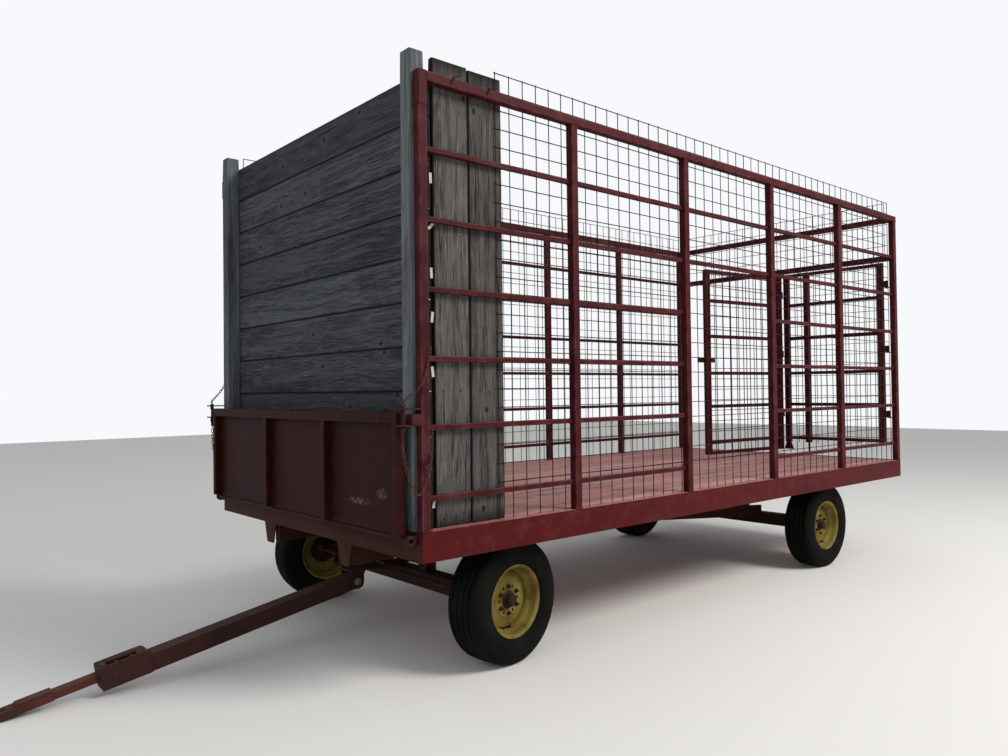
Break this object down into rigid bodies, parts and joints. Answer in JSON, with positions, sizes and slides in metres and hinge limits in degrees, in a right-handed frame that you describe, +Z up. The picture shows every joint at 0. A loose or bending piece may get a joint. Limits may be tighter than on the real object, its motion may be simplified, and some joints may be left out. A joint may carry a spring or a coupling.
{
  "type": "hay wagon",
  "caption": "Four-wheel hay wagon with a plank deck, mesh cage, board front wall, folding gate, rear leaves and a steered telescoping tongue.",
  "frame": {"origin": "on the ground under the middle of the overall box", "axes": "+X forward to the tongue, +Y to the wagon's left, +Z up"},
  "size_m": [7.116, 2.5586, 3.289],
  "materials": {
    "red_paint": "weathered satin",
    "rusty_red": "worn and rusty",
    "yellow_paint": "faded satin",
    "tyre": "dusty matte",
    "grey_wood": "weathered",
    "deck_wood": "faded paint"
  },
  "bodies": {
    "wagon": {"side_rail_left": "red_paint", "side_rail_right": "red_paint", "front_sill": "red_paint", "rear_sill": "red_paint", "cross_members": "red_paint", "long_sills": "red_paint", "deck": "deck_wood", "posts_left": "red_paint", "posts_right": "red_paint", "thin_rails_left": "red_paint", "thin_rails_right": "red_paint", "top_rails": "red_paint", "mesh_uprights_left": "red_paint", "mesh_lines_left": "red_paint", "mesh_uprights_right": "red_paint", "mesh_lines_right": "red_paint", "rear_frame": "red_paint", "rear_mesh_uprights": "red_paint", "rear_mesh_lines": "red_paint", "front_boards": "grey_wood", "wood_posts": "grey_wood", "side_planks": "grey_wood", "gate_hinge": "red_paint", "latch_brackets": "red_paint", "latch_pins": "red_paint", "latch_chains": "rusty_red", "front_axle": "rusty_red", "rear_axle": "rusty_red", "reach_pole": "rusty_red", "rear_hounds": "rusty_red", "rear_gate_pins": "red_paint"},
    "front_gate": {"gate_bars": "red_paint", "gate_uprights": "red_paint", "gate_sheet": "red_paint"},
    "rear_gate": {"rear_gate_stiles": "red_paint", "rear_gate_rails": "red_paint", "rear_gate_mesh_uprights": "red_paint", "rear_gate_mesh_lines": "red_paint"},
    "rear_door": {"rear_door_stiles": "red_paint", "rear_door_rails": "red_paint", "rear_door_mesh_uprights": "red_paint", "rear_door_mesh_lines": "red_paint"},
    "steering_plate": {"steering_plate": "rusty_red"},
    "knuckle_left": {"knuckle_left": "rusty_red"},
    "knuckle_right": {"knuckle_right": "rusty_red"},
    "tie_rod_left": {"tie_rod_left": "rusty_red"},
    "tie_rod_right": {"tie_rod_right": "rusty_red"},
    "tongue": {"tongue_beam": "rusty_red"},
    "drawbar": {"drawbar": "rusty_red"},
    "wheel_front_left": {"tyre_front_left": "tyre", "wheel_front_left": "yellow_paint"},
    "wheel_front_right": {"tyre_front_right": "tyre", "wheel_front_right": "yellow_paint"},
    "wheel_rear_left": {"tyre_rear_left": "tyre", "wheel_rear_left": "yellow_paint"},
    "wheel_rear_right": {"tyre_rear_right": "tyre", "wheel_rear_right": "yellow_paint"}
  },
  "joints": [
    {"name": "steering", "type": "hinge", "parent": "wagon", "child": "steering_plate", "pos_m": [1.228, 0, 0.418], "axis": [0, 0, 1], "range_deg": [-35, 35]},
    {"name": "knuckle_left_turn", "type": "hinge", "parent": "wagon", "child": "knuckle_left", "pos_m": [1.228, 0.78, 0.356], "axis": [0, 0, 1], "range_deg": [-35, 35]},
    {"name": "knuckle_right_turn", "type": "hinge", "parent": "wagon", "child": "knuckle_right", "pos_m": [1.228, -0.78, 0.356], "axis": [0, 0, 1], "range_deg": [-35, 35]},
    {"name": "tie_rod_left_swing", "type": "hinge", "parent": "steering_plate", "child": "tie_rod_left", "pos_m": [1.388, 0.025, 0.406], "axis": [0, 0, 1], "range_deg": [-35, 35]},
    {"name": "tie_rod_right_swing", "type": "hinge", "parent": "steering_plate", "child": "tie_rod_right", "pos_m": [1.388, -0.025, 0.406], "axis": [0, 0, 1], "range_deg": [-35, 35]},
    {"name": "tongue_pitch", "type": "hinge", "parent": "steering_plate", "child": "tongue", "pos_m": [1.598, 0, 0.35393], "axis": [0, -1, 0], "range_deg": [0, 20]},
    {"name": "drawbar_slide", "type": "slide", "parent": "tongue", "child": "drawbar", "axis": [0.9839, 0, -0.1788], "range_m": [-0.2, 0]},
    {"name": "front_gate_fold", "type": "hinge", "parent": "wagon", "child": "front_gate", "pos_m": [1.973, 0, 0.811], "axis": [0, 1, 0], "range_deg": [0, 90]},
    {"name": "rear_gate_swing", "type": "hinge", "parent": "wagon", "child": "rear_gate", "pos_m": [-3.5326, 1.1692, 1.7], "axis": [0, 0, -1], "range_deg": [0, 100]},
    {"name": "rear_door_swing", "type": "hinge", "parent": "rear_gate", "child": "rear_door", "pos_m": [-3.5326, 0.0792, 1.7], "axis": [0, 0, 1], "range_deg": [-84, 6]},
    {"name": "wheel_front_left_spin", "type": "hinge", "parent": "knuckle_left", "child": "wheel_front_left", "pos_m": [1.19997, 1.00829, 0.356], "axis": [-0.1219, 0.9925, 0], "continuous": true},
    {"name": "wheel_rear_left_spin", "type": "hinge", "parent": "wagon", "child": "wheel_rear_left", "pos_m": [-2.402, 1.01, 0.356], "axis": [0, 1, 0], "continuous": true},
    {"name": "wheel_front_right_spin", "type": "hinge", "parent": "knuckle_right", "child": "wheel_front_right", "pos_m": [1.25603, -1.00829, 0.356], "axis": [-0.1219, 0.9925, 0], "continuous": true},
    {"name": "wheel_rear_right_spin", "type": "hinge", "parent": "wagon", "child": "wheel_rear_right", "pos_m": [-2.402, -1.01, 0.356], "axis": [0, 1, 0], "continuous": true}
  ],
  "couplings": [
    {"joint": "knuckle_left_turn", "follows": "steering", "ratio": 1},
    {"joint": "knuckle_right_turn", "follows": "steering", "ratio": 1},
    {"joint": "tie_rod_left_swing", "follows": "steering", "ratio": -1},
    {"joint": "tie_rod_right_swing", "follows": "steering", "ratio": -1}
  ]
}
